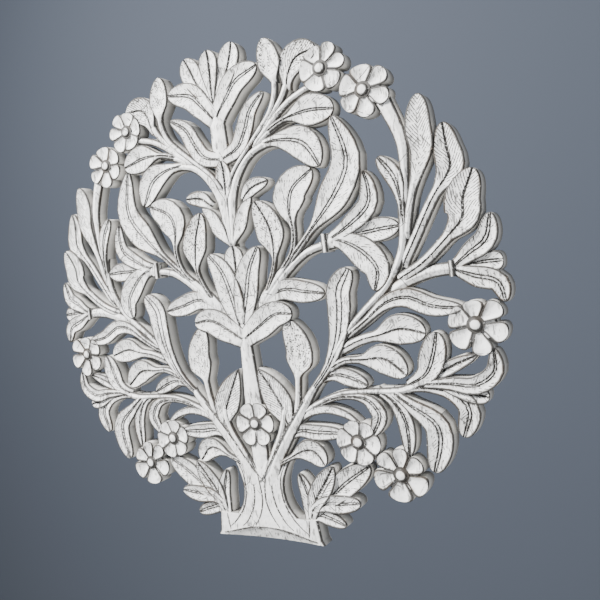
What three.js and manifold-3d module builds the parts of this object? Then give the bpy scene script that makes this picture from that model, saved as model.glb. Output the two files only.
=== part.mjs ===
// A round openwork wall panel carved from one flat board: a tree with boughs, leaves,
// tulip-like blooms and six-petalled flowers. The design is the same on both sides of its middle.
// Millimetres. X runs to the right, Z up, and the flat back lies in the plane Y = 0.
import * as THREE from 'three';
import Module from 'manifold-3d';

// Driving dimensions
const BOARD = 22; // board thickness, from the back to the flowers' rims
const STEM_TOP = 19.6; // height of a stem
const TRUNK_TOP = 20.8; // height of the trunk's face
const FOOT_TOP = 19; // height of the foot's sloped face
const LEAF_DIP = 2.4; // depth of a broad leaf's middle crease under its rim
const BROAD_LEAF = 23; // leaves at least this wide are dished, narrower ones are flat
const STALK_CROWN = 1; // fall from the ridge of stalk and trunk to their edges
const NOTCH_REACH = 0.83; // reach of the notch between two petals, as a share of theirs
const NOTCH_DROP = 1.4; // fall from a petal's rim to the notch
const DISH_DEPTH = 4.2; // depth of a flower's dished middle
const BUTTON_RADIUS = 6.6; // raised button in the middle of a flower
const BUTTON_SIDES = 7;
const BUTTON_FOOT = 20.8; // height of the button's edge
const BUTTON_TOP = 21.6; // height of the button's middle
const COLLAR_TOP = 21.4; // height of the collars
const MESH_TOLERANCE = 0.25; // edges left by a cut that are shorter than this are joined
const PETAL_HALF_ANGLE = 15; // degrees from a petal's tip to its shoulders
const PETAL_SHOULDER = 0.3; // greatest share of the angle to the next petal that a shoulder takes
const LONG_NECK = 0.3; // a leaf with a longer plain neck is also cut halfway along it
const TIP_CUTS = [0, 0.6, 0.94]; // where a leaf's tip is cut, as shares from its widest place to its end
const CLOSEST_CUTS = 0.04; // cuts of a leaf nearer to each other than this share are joined

const PAINT = { color: 0xe4e3de, roughness: 0.72, metalness: 0 };

// Leaves and petals of the right half. Each is a middle line from root to tip, then the greatest
// width, the width of its neck, the share of the line that is plain neck, the share at which it is
// widest, how blunt its tip is (less is blunter) and the height of its rim.
const LEAVES = [
  // Crown
  [[[0, 232], [21, 262], [35.5, 297]], 30, 16, 0, 0.72, 0.5, 20],
  [[[0, 212], [18, 234], [35, 251.5], [66, 260]], 33, 25, 0, 0.55, 0.5, 20.6],
  [[[86, 232], [82, 260], [77.5, 287]], 29, 10, 0.04, 0.45, 0.5, 20.6],
  [[[99, 222], [105, 242], [116, 255], [140, 257]], 35, 12, 0.05, 0.52, 0.45, 20],
  [[[-2, 164], [24, 173], [38, 193], [48, 213], [69, 229]], 24, 19, 0, 0.45, 0.5, 20],
  [[[66, 182], [90, 190], [122, 193], [153, 187]], 36, 8, 0.3, 0.66, 0.45, 20.6],
  // Boughs that leave the middle
  [[[58, 170], [84, 169], [111, 159], [128.5, 130]], 37, 12, 0.1, 0.6, 0.6, 20.6],
  [[[22, 112], [38, 124], [60, 127.5]], 20, 12, 0, 0.42, 0.5, 20],
  [[[2, 60], [16, 83], [24, 100], [36, 112]], 19, 6, 0, 0.45, 0.6, 20.6],
  [[[72, 28], [104, 58], [141.5, 97], [159.5, 131], [149, 181]], 38, 9, 0.24, 0.53, 0.58, 20.6],
  [[[62, 20], [80, 40], [86, 64], [83.5, 90], [90.5, 112.5], [118, 128.5]], 42, 8, 0.42, 0.68, 0.5, 20.6],
  [[[38, -4], [52, 22], [57, 42], [54, 74], [40, 107]], 37, 7, 0.36, 0.63, 0.55, 20.6],
  // Tulip and drooping leaves of the middle
  [[[2, -40], [11, 0], [20, 30], [36, 54]], 35, 22, 0, 0.45, 0.5, 20.6],
  [[[-2, -56], [22, -41], [46, -28], [70, -29]], 35, 24, 0, 0.5, 0.4, 20.6],
  [[[30, -14], [60, -0.5], [88, -5.5], [114, -10]], 27, 16, 0, 0.58, 0.45, 20],
  // Upper sideways bloom
  [[[128, 48], [150, 58], [175.5, 76], [180, 95], [177, 115]], 23, 14, 0, 0.5, 0.6, 20.6],
  [[[142, 49], [170, 49.5], [186, 50.5], [208, 50.5]], 26, 8, 0, 0.64, 0.52, 20],
  [[[130, 48], [146, 43], [165, 29], [178.5, 9], [173.5, -14]], 34, 16, 0, 0.5, 0.55, 20.6],
  // Right-hand bough
  [[[84, -118], [107.5, -92], [122.5, -62], [129, -32], [131.5, -8], [146.5, 14]],
    29, 9, 0.05, 0.79, 0.4, 20.6],
  [[[212, 46], [213, 78], [208.5, 102], [194.5, 125]], 19, 8, 0.25, 0.72, 0.45, 20.6],
  [[[214, 36], [222, 70], [230.5, 94], [240.5, 122], [240, 148], [244, 178]], 27, 9, 0.3, 0.75, 0.5, 20.6],
  [[[206, 8], [222, 34], [244, 70], [265, 98], [264.5, 121], [264, 144.5]], 29, 12, 0.52, 0.73, 0.52, 20],
  [[[200, -5], [228, 9], [256, 32], [271.5, 48], [274.5, 68], [287.5, 94]], 36, 12, 0.45, 0.72, 0.5, 20.6],
  // Right-hand bloom
  [[[257, 1], [274, 13], [291, 25], [298, 49]], 22, 12, 0, 0.5, 0.5, 20.6],
  [[[260, 2], [285, 2.5], [304, 2]], 20, 8, 0, 0.82, 0.35, 20],
  [[[257, -1], [277, -10], [297, -18], [302.5, -38]], 22, 12, 0, 0.45, 0.5, 20.6],
  // Leaves under the right-hand bough
  [[[134, -60], [158, -45], [182, -28], [206, -24], [232, -36], [262, -40]], 22, 9, 0.18, 0.66, 0.5, 20.6],
  [[[122, -76], [148, -65.5], [172, -61], [195, -56.5], [221, -63]], 33, 12, 0.42, 0.72, 0.45, 20],
  [[[104, -98], [126, -87], [150, -86.5], [174, -87.5], [196, -105]], 32, 9, 0.4, 0.7, 0.45, 20.6],
  [[[96, -108], [113, -102], [130, -105.5], [151, -115]], 20, 8, 0, 0.58, 0.45, 20],
  // Lower side bough
  [[[196, -116], [216, -105], [225.5, -86], [232.5, -62]], 28, 12, 0, 0.6, 0.45, 20.6],
  [[[210, -113], [232, -103], [250, -95], [269, -88]], 15, 9, 0, 0.5, 0.6, 20],
  [[[208, -115], [240, -115.5], [264, -118], [283.5, -105], [286, -82]], 19, 9, 0, 0.62, 0.45, 20.6],
  [[[226, -118], [256, -125], [275.5, -130.5]], 20, 8, 0, 0.7, 0.35, 20],
  [[[190, -120], [216, -119], [240, -124.5], [255, -142], [247, -170]], 22, 9, 0.1, 0.75, 0.4, 20],
  [[[176, -121], [198, -138.5], [219.5, -156.5], [222, -177], [213, -207]], 28, 11, 0.05, 0.63, 0.4, 20.6],
  [[[160, -120], [176, -131], [186, -148], [189, -166], [188, -191]], 18, 10, 0, 0.6, 0.45, 20],
  [[[88, -135], [110, -128], [130, -126.5], [148, -130], [158, -141], [160, -151], [150, -170]],
    18, 7, 0.35, 0.75, 0.45, 20.6],
  [[[50, -162], [70, -147], [95, -140.5], [118, -145.5], [137, -158]], 10, 9, 0, 0.6, 0.5, 20],
  [[[18, -210], [36, -183], [58, -166.5], [82, -167.5], [113, -168]], 19, 7, 0.3, 0.7, 0.35, 20],
  [[[22, -208], [43, -198], [60, -190], [75, -190], [88, -205]], 28, 7, 0.3, 0.7, 0.45, 20.6],
  // Beside the stalk
  [[[47, -162], [40, -138], [29, -116], [14, -90]], 37, 14, 0, 0.4, 0.95, 20.6],
  [[[48, -164], [58, -146], [64, -120], [67, -98], [72.5, -73], [66, -50], [60, -36]],
    35, 9, 0.46, 0.64, 0.45, 20],
  // Sprigs on the foot
  [[[57, -282], [59.5, -258], [59.5, -241], [51.5, -216]], 19, 11, 0, 0.55, 0.5, 20],
  [[[60, -272], [70, -246], [82, -228], [97, -206]], 26, 12, 0, 0.55, 0.6, 20.6],
  [[[62, -266], [84, -247], [108, -226], [141, -204]], 30, 12, 0, 0.62, 0.45, 20],
  [[[56, -264], [78, -251], [102, -249], [125, -246]], 22, 10, 0, 0.6, 0.4, 20.6],
  [[[54, -270], [70, -264], [86, -267.5], [104, -274]], 18, 14, 0, 0.55, 0.45, 20],
];

// Leaves on the middle line, which are symmetric by themselves
const MIDDLE_LEAVES = [
  [[[0, 232], [0, 299]], 27, 8, 0, 0.76, 0.6, 20.6],
  [[[0, 112], [0, 164]], 25, 6, 0, 0.5, 0.5, 20],
  [[[0, 6], [0, 60]], 28, 6, 0, 0.7, 0.5, 20],
];

// Stems, boughs and stalks of the right half: a middle line and the widths along it
const STEMS = [
  [[[2, 58], [4, 92], [9.5, 122], [24, 147], [44, 164], [76, 172]], [10, 14, 14, 12, 10, 10]],
  [[[3, 126], [17, 149], [46, 176], [74, 203], [84, 225], [85, 244]], [7, 7, 7, 8, 8.5, 8.5]],
  [[[44, 168], [64, 184], [82, 198], [102, 210], [130, 219]], [10, 10, 9, 9, 9]],
  [[[58, 182], [76, 200], [91, 215], [102, 234]], [9, 9, 9, 10]],
  [[[46, 168], [68, 181], [96, 190.5]], [10, 9, 8]],
  [[[26, -20], [46, 4], [72, 28], [84, 39]], [16, 14, 11, 9]],
  [[[26, -20], [46, -2], [67, 18], [95, 37], [126, 44.5]], [18, 15, 11, 10, 10]],
  [[[118, 45], [140, 47]], [18, 18]],
  [[[110, -86], [134, -56], [156, -35], [183, -12.5], [202, 14], [210.5, 39], [212, 72]],
    [9, 8, 8, 10, 10, 10, 8]],
  [[[217, 66], [221, 118], [219, 145], [205, 186]], [8, 10, 14, 17]],
  [[[190, -16], [212, -6], [235, -0.5], [259, 0]], [13, 14, 14, 13]],
  [[[8, -238], [20, -206], [40, -176], [60, -150], [88, -113]], [26, 20, 17, 14, 9]],
  [[[8, -222], [21, -193], [33, -172], [40, -155], [44, -138]], [10, 9, 9, 9, 9]],
  [[[46, -164], [62, -148], [78, -139], [92, -132], [118, -123], [150, -121.5], [189, -121.5], [214, -112]],
    [12, 9, 7, 6, 7, 8, 10, 10]],
];

// Collars that bind the two sideways blooms
const COLLARS = [
  [[[122, 35], [122, 55.5]], [6.5, 6.5]],
  [[[255.5, -8], [255.5, 8]], [5.5, 5.5]],
];

// Pieces on the middle line: stalk, trunk and foot
const STALKS = [
  [[[0, 60], [0, 128]], [9, 5], STEM_TOP],
  [[[0, 158], [0, 236]], [26, 20], STEM_TOP],
  [[[0, -142], [0, -92], [0, -60], [0, -28]], [28, 22, 18, 24], STEM_TOP],
  [[[0, -234], [0, -205], [0, -150]], [20, 24, 24], STEM_TOP],
  [[[0, -286], [0, -272], [0, -258], [0, -240], [0, -222], [0, -203]], [106, 84, 66, 57, 62, 80], TRUNK_TOP],
  [[[0, -299], [0, -288], [0, -280], [0, -270]], [149, 137, 133, 137], FOOT_TOP],
];

// Flowers of the right half: the middle, then the direction of each petal in degrees and its reach
const FLOWERS = [
  [[143, 233.5], [[4, 29], [52, 28], [105, 24.5], [175, 24], [243, 24.5], [316, 28]]],
  [[187.5, 197.5], [[19, 30], [88, 25.5], [153, 26], [218, 27], [271, 29], [335, 30.5]]],
  [[271.5, -57.5], [[36, 30.5], [90, 24], [150, 26.5], [225, 29], [278, 31], [338, 31]]],
  [[176, -211.5], [[32, 27], [87, 28.5], [133, 30.5], [193, 31], [260, 29], [336, 30]]],
  [[131.5, -177], [[51, 24.5], [103, 24], [166, 25], [232, 25.5], [285, 26], [356, 26]]],
];
const MIDDLE_FLOWER = [[0, -157], [[0, 26], [63, 26], [117, 26], [180, 26], [243, 28], [297, 28]]];

const wasm = await Module();
wasm.setup();

function solid(points, triangles) {
  const mesh = new wasm.Mesh({
    numProp: 3,
    vertProperties: new Float32Array(points.flat()),
    triVerts: new Uint32Array(triangles.flat()),
    tolerance: MESH_TOLERANCE,
  });
  return new wasm.Manifold(mesh);
}

// A closed body along a middle line. Each station gives a share of the line, half the width there and
// the heights of edge and middle. A station without width closes the body in one upright edge. A flat
// body has no points along its middle.
function sweep(path, stations) {
  const line = path.map(([x, z]) => new THREE.Vector3(x, 0, z));
  const curve = new THREE.CatmullRomCurve3(line, false, 'catmullrom', 0.5);
  const flat = stations.every(({ edge, middle }) => edge === middle);
  const points = [];
  const put = (x, height, z) => points.push([x, -height, z]) - 1;
  const rings = stations.map(({ share, half, edge, middle }) => {
    const { x, z } = curve.getPointAt(share);
    const along = curve.getTangentAt(share);
    if (half === 0) {
      const top = put(x, middle, z);
      const back = put(x, 0, z);
      return { top: flat ? [top, top] : [top, top, top], back: [back, back] };
    }
    const aside = (distance, height) => put(x + along.z * distance, height, z - along.x * distance);
    const top = [aside(half, edge), aside(-half, edge)];
    if (!flat) top.splice(1, 0, put(x, middle, z));
    return { top, back: [aside(half, 0), aside(-half, 0)] };
  });
  const triangles = [];
  const quad = (p, q, r, s) => triangles.push([p, q, r], [p, r, s]);
  for (let i = 0; i + 1 < rings.length; i++) {
    const [near, far] = [rings[i], rings[i + 1]];
    for (let k = 0; k + 1 < near.top.length; k++) {
      quad(near.top[k], far.top[k], far.top[k + 1], near.top[k + 1]);
    }
    quad(near.top[0], near.back[0], far.back[0], far.top[0]);
    quad(near.top.at(-1), far.top.at(-1), far.back[1], near.back[1]);
    quad(near.back[0], near.back[1], far.back[1], far.back[0]);
  }
  const cap = ({ top, back }) => [...top, back[1], back[0]];
  const start = cap(rings[0]);
  const end = cap(rings.at(-1)).reverse();
  for (const face of [start, end]) {
    for (let k = 1; k + 1 < face.length; k++) triangles.push([face[0], face[k], face[k + 1]]);
  }
  const closed = triangles.filter(([p, q, r]) => p !== q && q !== r && r !== p);
  return solid(points, closed);
}

const smooth = (u) => u * u * (3 - 2 * u);

// Shares of the line at which a leaf is cut: along its neck, up to its widest place, round its tip
function leafShares(stem, belly) {
  const neck = stem > LONG_NECK ? [0, stem * 0.5] : [0];
  const rise = [0, 0.5].map((u) => stem + (belly - stem) * u);
  const tip = TIP_CUTS.map((u) => belly + (1 - belly) * u);
  const shares = [...neck, ...rise, ...tip];
  return shares.filter((share, i) => i === 0 || share - shares[i - 1] > CLOSEST_CUTS);
}

function leaf([path, width, neck, stem, belly, blunt, rim]) {
  const stations = leafShares(stem, belly).map((share) => {
    const grown = smooth(Math.min(1, Math.max(0, (share - stem) / (belly - stem))));
    const past = Math.max(0, (share - belly) / (1 - belly));
    const rounding = past >= 1 ? 0 : (1 - past * past) ** blunt;
    const half = ((neck + (width - neck) * grown) / 2) * rounding;
    const dip = width < BROAD_LEAF || half === 0 ? 0 : LEAF_DIP * grown;
    return { share, half, edge: rim, middle: rim - dip };
  });
  return sweep(path, stations);
}

function ribbon(path, widths, top, crown) {
  const stations = widths.map((width, i) => ({
    share: i / (widths.length - 1),
    half: width / 2,
    edge: top - crown,
    middle: top,
  }));
  return sweep(path, stations);
}

const polar = ([x, z], radius, degrees) => {
  const angle = THREE.MathUtils.degToRad(degrees);
  return [x + radius * Math.cos(angle), z + radius * Math.sin(angle)];
};

// A fan of triangles over a closed outline of directions, reaches and heights, with walls and back
function boss(centre, outline, middleHeight) {
  const count = outline.length;
  const put = ([x, z], height) => [x, -height, z];
  const points = [
    put(centre, middleHeight),
    ...outline.map(([direction, reach, height]) => put(polar(centre, reach, direction), height)),
    put(centre, 0),
    ...outline.map(([direction, reach]) => put(polar(centre, reach, direction), 0)),
  ];
  const triangles = [];
  for (let i = 0; i < count; i++) {
    const next = (i + 1) % count;
    const [a, b] = [1 + i, 1 + next];
    const [c, d] = [count + 2 + i, count + 2 + next];
    triangles.push([0, a, b], [a, c, d], [a, d, b], [count + 1, d, c]);
  }
  return solid(points, triangles);
}

function flower([centre, petals]) {
  const outline = petals.flatMap(([direction, reach], i) => {
    const [next, nextReach] = petals[(i + 1) % petals.length];
    const turn = (next - direction + 360) % 360;
    const shoulder = Math.min(PETAL_HALF_ANGLE, turn * PETAL_SHOULDER);
    return [
      [direction - shoulder, reach, BOARD],
      [direction + shoulder, reach, BOARD],
      [direction + turn / 2, Math.min(reach, nextReach) * NOTCH_REACH, BOARD - NOTCH_DROP],
    ];
  });
  const button = Array.from({ length: BUTTON_SIDES }, (_, i) => [
    (i * 360) / BUTTON_SIDES,
    BUTTON_RADIUS,
    BUTTON_FOOT,
  ]);
  return boss(centre, outline, BOARD - DISH_DEPTH).add(boss(centre, button, BUTTON_TOP));
}

// The same body again, on the other side of the middle when the side is -1
function copied(body, side) {
  const { vertProperties, triVerts, numProp } = body.getMesh();
  const points = [];
  for (let i = 0; i < vertProperties.length; i += numProp) {
    points.push([side * vertProperties[i], vertProperties[i + 1], vertProperties[i + 2]]);
  }
  const triangles = [];
  for (let i = 0; i < triVerts.length; i += 3) {
    const [a, b, c] = triVerts.subarray(i, i + 3);
    triangles.push(side < 0 ? [a, c, b] : [a, b, c]);
  }
  return solid(points, triangles);
}

const join = (bodies) => bodies.reduce((all, body) => all.add(body));

function panel() {
  const half = join([
    ...STEMS.map(([path, widths]) => ribbon(path, widths, STEM_TOP, 0)),
    ...COLLARS.map(([path, widths]) => ribbon(path, widths, COLLAR_TOP, 0)),
    ...LEAVES.map(leaf),
    ...FLOWERS.map(flower),
  ]);
  const middle = join([
    ...STALKS.map(([path, widths, top]) => ribbon(path, widths, top, STALK_CROWN)),
    ...MIDDLE_LEAVES.map(leaf),
    flower(MIDDLE_FLOWER),
  ]);
  return copied(half, 1).add(copied(half, -1)).add(copied(middle, 1));
}

function asMesh(body, name, paint) {
  const { vertProperties, triVerts } = body.getMesh();
  const geometry = new THREE.BufferGeometry();
  geometry.setAttribute('position', new THREE.BufferAttribute(vertProperties, 3));
  geometry.setIndex(new THREE.BufferAttribute(triVerts, 1));
  geometry.computeVertexNormals();
  const mesh = new THREE.Mesh(geometry, new THREE.MeshStandardMaterial(paint));
  mesh.name = name;
  return mesh;
}

const wallPanel = new THREE.Group();
wallPanel.add(asMesh(panel(), 'carved_panel', PAINT));

export default wallPanel;
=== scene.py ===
"""A round openwork wall panel, carved from one board and whitewashed.

The design is a tree with boughs, leaves, blooms and six-petalled flowers, the same on both sides of its
middle. Sizes in the tables are millimetres in the plane of the board: x to the right, z up."""

import math

import bpy
import numpy as np
from mathutils import Matrix


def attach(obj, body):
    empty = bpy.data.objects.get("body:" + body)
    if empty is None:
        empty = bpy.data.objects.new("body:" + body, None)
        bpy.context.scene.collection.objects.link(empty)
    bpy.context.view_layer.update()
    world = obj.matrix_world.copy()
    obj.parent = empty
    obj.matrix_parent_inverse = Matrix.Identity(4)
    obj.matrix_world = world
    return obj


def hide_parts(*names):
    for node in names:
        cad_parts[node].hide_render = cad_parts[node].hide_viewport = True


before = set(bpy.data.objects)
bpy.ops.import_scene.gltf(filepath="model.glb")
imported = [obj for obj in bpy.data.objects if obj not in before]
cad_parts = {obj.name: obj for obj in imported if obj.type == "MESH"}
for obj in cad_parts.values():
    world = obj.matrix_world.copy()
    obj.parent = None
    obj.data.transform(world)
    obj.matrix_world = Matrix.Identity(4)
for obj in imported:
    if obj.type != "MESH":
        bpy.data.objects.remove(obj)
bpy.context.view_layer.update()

bl_info = {
    "name": "Carved Wall Panel",
    "version": (1, 0, 0),
    "blender": (4, 5, 0),
    "location": "View3D > Sidebar > Wall Panel",
    "description": "Builds a round, openwork, whitewashed panel carved from one board",
    "category": "Object",
}

MM = 0.001
NODE = "carved_panel"
ATTRIBUTES_KEPT = ("edge", "vein_gap", "wall", "along", "across", "feather", "dots")
SHARP_ANGLE = 14

# Leaves and petals of the right half: middle line from root to tip, greatest width, width of the neck,
# share of the line that is plain neck, share where it is widest, bluntness of the tip (less is blunter),
# height of the rim, and how far its cut veins lie from the middle line (none without a number).
LEAVES = {
    "crown_inner": ([(0, 232), (21, 262), (35.5, 297)], 30, 16, 0, 0.72, 0.5, 20, 0.6),
    "crown_outer": ([(0, 212), (18, 234), (35, 251.5), (66, 260)], 33, 25, 0, 0.55, 0.5, 20.6, 1.6),
    "crown_oval": ([(86, 232), (82, 260), (77.5, 287)], 29, 10, 0.04, 0.45, 0.5, 20.6, None),
    "crown_round": ([(99, 222), (105, 242), (116, 255), (140, 257)], 35, 12, 0.05, 0.52, 0.45, 20, 0.4),
    "crown_arm": ([(-2, 164), (24, 173), (38, 193), (48, 213), (69, 229)], 24, 19, 0, 0.45, 0.5, 20, 1.6),
    "shoulder": ([(66, 182), (90, 190), (122, 193), (153, 187)], 36, 8, 0.3, 0.66, 0.45, 20.6, 1.2),
    "bough_end": ([(58, 170), (84, 169), (111, 159), (128.5, 130)], 37, 12, 0.1, 0.6, 0.6, 20.6, 1.8),
    "throat": ([(22, 112), (38, 124), (60, 127.5)], 20, 12, 0, 0.42, 0.5, 20, 0.6),
    "throat_low": ([(2, 60), (16, 83), (24, 100), (36, 112)], 19, 6, 0, 0.45, 0.6, 20.6, None),
    "long_right": ([(72, 28), (104, 58), (141.5, 97), (159.5, 131), (149, 181)],
        38, 9, 0.24, 0.53, 0.58, 20.6, 2),
    "long_left": ([(62, 20), (80, 40), (86, 64), (83.5, 90), (90.5, 112.5), (118, 128.5)],
        42, 8, 0.42, 0.68, 0.5, 20.6, 1.4),
    "heart_oval": ([(38, -4), (52, 22), (57, 42), (54, 74), (40, 107)], 37, 7, 0.36, 0.63, 0.55, 20.6, 0.5),
    "heart_upright": ([(2, -40), (11, 0), (20, 30), (36, 54)], 35, 22, 0, 0.45, 0.5, 20.6, 2),
    "heart_drooping": ([(-2, -56), (22, -41), (46, -28), (70, -29)], 35, 24, 0, 0.5, 0.4, 20.6, 1),
    "heart_side": ([(30, -14), (60, -0.5), (88, -5.5), (114, -10)], 27, 16, 0, 0.58, 0.45, 20, 1.2),
    "bloom_upper": ([(128, 48), (150, 58), (175.5, 76), (180, 95), (177, 115)],
        23, 14, 0, 0.5, 0.6, 20.6, 1.6),
    "bloom_middle": ([(142, 49), (170, 49.5), (186, 50.5), (208, 50.5)], 26, 8, 0, 0.64, 0.52, 20, 1.4),
    "bloom_lower": ([(130, 48), (146, 43), (165, 29), (178.5, 9), (173.5, -14)],
        34, 16, 0, 0.5, 0.55, 20.6, 1.6),
    "side_upright": ([(84, -118), (107.5, -92), (122.5, -62), (129, -32), (131.5, -8), (146.5, 14)],
        29, 9, 0.05, 0.79, 0.4, 20.6, 3),
    "side_short": ([(212, 46), (213, 78), (208.5, 102), (194.5, 125)], 19, 8, 0.25, 0.72, 0.45, 20.6, 1.6),
    "side_first": ([(214, 36), (222, 70), (230.5, 94), (240.5, 122), (240, 148), (244, 178)],
        27, 9, 0.3, 0.75, 0.5, 20.6, None),
    "side_second": ([(206, 8), (222, 34), (244, 70), (265, 98), (264.5, 121), (264, 144.5)],
        29, 12, 0.52, 0.73, 0.52, 20, 0.5),
    "side_third": ([(200, -5), (228, 9), (256, 32), (271.5, 48), (274.5, 68), (287.5, 94)],
        36, 12, 0.45, 0.72, 0.5, 20.6, 0.6),
    "rim_bloom_upper": ([(257, 1), (274, 13), (291, 25), (298, 49)], 22, 12, 0, 0.5, 0.5, 20.6, 1.6),
    "rim_bloom_middle": ([(260, 2), (285, 2.5), (304, 2)], 20, 8, 0, 0.82, 0.35, 20, 1.2),
    "rim_bloom_lower": ([(257, -1), (277, -10), (297, -18), (302.5, -38)], 22, 12, 0, 0.45, 0.5, 20.6, 1.6),
    "under_first": ([(134, -60), (158, -45), (182, -28), (206, -24), (232, -36), (262, -40)],
        22, 9, 0.18, 0.66, 0.5, 20.6, 1.2),
    "under_second": ([(122, -76), (148, -65.5), (172, -61), (195, -56.5), (221, -63)],
        33, 12, 0.42, 0.72, 0.45, 20, 0.5),
    "under_third": ([(104, -98), (126, -87), (150, -86.5), (174, -87.5), (196, -105)],
        32, 9, 0.4, 0.7, 0.45, 20.6, 0.6),
    "under_fourth": ([(96, -108), (113, -102), (130, -105.5), (151, -115)], 20, 8, 0, 0.58, 0.45, 20, 1.2),
    "tail_upright": ([(196, -116), (216, -105), (225.5, -86), (232.5, -62)],
        28, 12, 0, 0.6, 0.45, 20.6, 1.4),
    "tail_small": ([(210, -113), (232, -103), (250, -95), (269, -88)], 15, 9, 0, 0.5, 0.6, 20, 0.6),
    "tail_hook": ([(208, -115), (240, -115.5), (264, -118), (283.5, -105), (286, -82)],
        19, 9, 0, 0.62, 0.45, 20.6, 1.2),
    "tail_lobe": ([(226, -118), (256, -125), (275.5, -130.5)], 20, 8, 0, 0.7, 0.35, 20, 0.6),
    "tail_curl": ([(190, -120), (216, -119), (240, -124.5), (255, -142), (247, -170)],
        22, 9, 0.1, 0.75, 0.4, 20, 1.6),
    "tail_drooping": ([(176, -121), (198, -138.5), (219.5, -156.5), (222, -177), (213, -207)],
        28, 11, 0.05, 0.63, 0.4, 20.6, 1.8),
    "tail_narrow": ([(160, -120), (176, -131), (186, -148), (189, -166), (188, -191)],
        18, 10, 0, 0.6, 0.45, 20, 1.2),
    "low_curl": ([(88, -135), (110, -128), (130, -126.5), (148, -130), (158, -141), (160, -151),
        (150, -170)],
        18, 7, 0.35, 0.75, 0.45, 20.6, 1.4),
    "low_thin": ([(50, -162), (70, -147), (95, -140.5), (118, -145.5), (137, -158)],
        10, 9, 0, 0.6, 0.5, 20, None),
    "low_long": ([(18, -210), (36, -183), (58, -166.5), (82, -167.5), (113, -168)],
        19, 7, 0.3, 0.7, 0.35, 20, 1.6),
    "low_round": ([(22, -208), (43, -198), (60, -190), (75, -190), (88, -205)],
        28, 7, 0.3, 0.7, 0.45, 20.6, 0.5),
    "stalk_low": ([(47, -162), (40, -138), (29, -116), (14, -90)], 37, 14, 0, 0.4, 0.95, 20.6, 0.6),
    "stalk_high": ([(48, -164), (58, -146), (64, -120), (67, -98), (72.5, -73), (66, -50), (60, -36)],
        35, 9, 0.46, 0.64, 0.45, 20, None),
    "sprig_first": ([(57, -282), (59.5, -258), (59.5, -241), (51.5, -216)], 19, 11, 0, 0.55, 0.5, 20, 1.2),
    "sprig_second": ([(60, -272), (70, -246), (82, -228), (97, -206)], 26, 12, 0, 0.55, 0.6, 20.6, 0.6),
    "sprig_third": ([(62, -266), (84, -247), (108, -226), (141, -204)], 30, 12, 0, 0.62, 0.45, 20, 1.4),
    "sprig_fourth": ([(56, -264), (78, -251), (102, -249), (125, -246)], 22, 10, 0, 0.6, 0.4, 20.6, 1.2),
    "sprig_fifth": ([(54, -270), (70, -264), (86, -267.5), (104, -274)], 18, 14, 0, 0.55, 0.45, 20, 1.4),
}

# Leaves on the middle line
MIDDLE_LEAVES = {
    "crown_top": ([(0, 232), (0, 298)], 27, 8, 0, 0.76, 0.6, 20.6, 0.8),
    "bud": ([(0, 112), (0, 164)], 25, 6, 0, 0.5, 0.5, 20, 0.6),
    "heart_bud": ([(0, 6), (0, 60)], 28, 6, 0, 0.7, 0.5, 20, 0.8),
}

# Stems of the right half: middle line, widths along it and the height of the ridge
STEMS = {
    "throat_bough": ([(2, 58), (4, 92), (9.5, 122), (24, 147), (44, 164), (76, 172)],
        [10, 14, 14, 12, 10, 10], 19.6),
    "crown_stem": ([(3, 126), (17, 149), (46, 176), (74, 203), (84, 225), (85, 244)],
        [7, 7, 7, 8, 8.5, 8.5], 20.4),
    "first_flower_stem": ([(44, 168), (64, 184), (82, 198), (102, 210), (130, 219)],
        [10, 10, 9, 9, 9], 19.8),
    "crown_round_stem": ([(58, 182), (76, 200), (91, 215), (102, 234)], [9, 9, 9, 10], 19.4),
    "shoulder_stem": ([(46, 168), (68, 181), (96, 190.5)], [10, 9, 8], 19.2),
    "long_stem": ([(26, -20), (46, 4), (72, 28), (84, 39)], [16, 14, 11, 9], 20),
    "bloom_stem": ([(26, -20), (46, -2), (67, 18), (95, 37), (126, 44.5)], [18, 15, 11, 10, 10], 19.4),
    "bloom_knot": ([(118, 45), (140, 47)], [18, 18], 19.6),
    "side_stem": ([(110, -86), (134, -56), (156, -35), (183, -12.5), (202, 14), (210.5, 39), (212, 72)],
        [9, 8, 8, 10, 10, 10, 8], 20.2),
    "second_flower_stem": ([(217, 66), (221, 118), (219, 145), (205, 186)], [8, 10, 14, 17], 19.6),
    "rim_bloom_stem": ([(190, -16), (212, -6), (235, -0.5), (259, 0)], [13, 14, 14, 13], 19.6),
    "main_stem": ([(8, -238), (20, -206), (40, -176), (60, -150), (88, -113)], [26, 20, 17, 14, 9], 21.4),
    "main_stem_edge": ([(8, -222), (21, -193), (33, -172), (40, -155), (44, -138)], [10, 9, 9, 9, 9], 21.6),
    "low_stem": ([(46, -164), (62, -148), (78, -139), (92, -132), (118, -123), (150, -121.5),
        (189, -121.5), (214, -112)],
        [12, 9, 7, 6, 7, 8, 10, 10], 19.8),
}

# Collars that bind the two sideways blooms
COLLARS = {
    "bloom_collar": ([(122, 35), (122, 55.5)], [6.5, 6.5], 21.4),
    "rim_bloom_collar": ([(255.5, -8), (255.5, 8)], [5.5, 5.5], 21.4),
}

# Stalk on the middle line
STALKS = {
    "stalk_top": ([(0, 158), (0, 236)], [26, 20], 19.6),
    "stalk_thin": ([(0, 60), (0, 128)], [9, 5], 19.6),
    "stalk_heart": ([(0, -142), (0, -92), (0, -60), (0, -28)], [28, 22, 18, 24], 19.6),
    "stalk_foot": ([(0, -234), (0, -205), (0, -150)], [20, 24, 24], 19.6),
}

# Trunk: height above the middle of the panel and half the width there. Its face is TRUNK_TOP high, falls
# by TRUNK_CROWN to its sides, and by TRUNK_SLOPE for each millimetre above TRUNK_SHOULDER.
TRUNK = [(-270, 43), (-264, 37.5), (-258, 33.5), (-250, 30.5), (-240, 28.8), (-230, 29.2), (-222, 31),
         (-212, 35), (-203, 40)]
TRUNK_TOP = 20.8
TRUNK_CROWN = 1.2
TRUNK_SHOULDER = -224
TRUNK_SLOPE = 0.13

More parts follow.
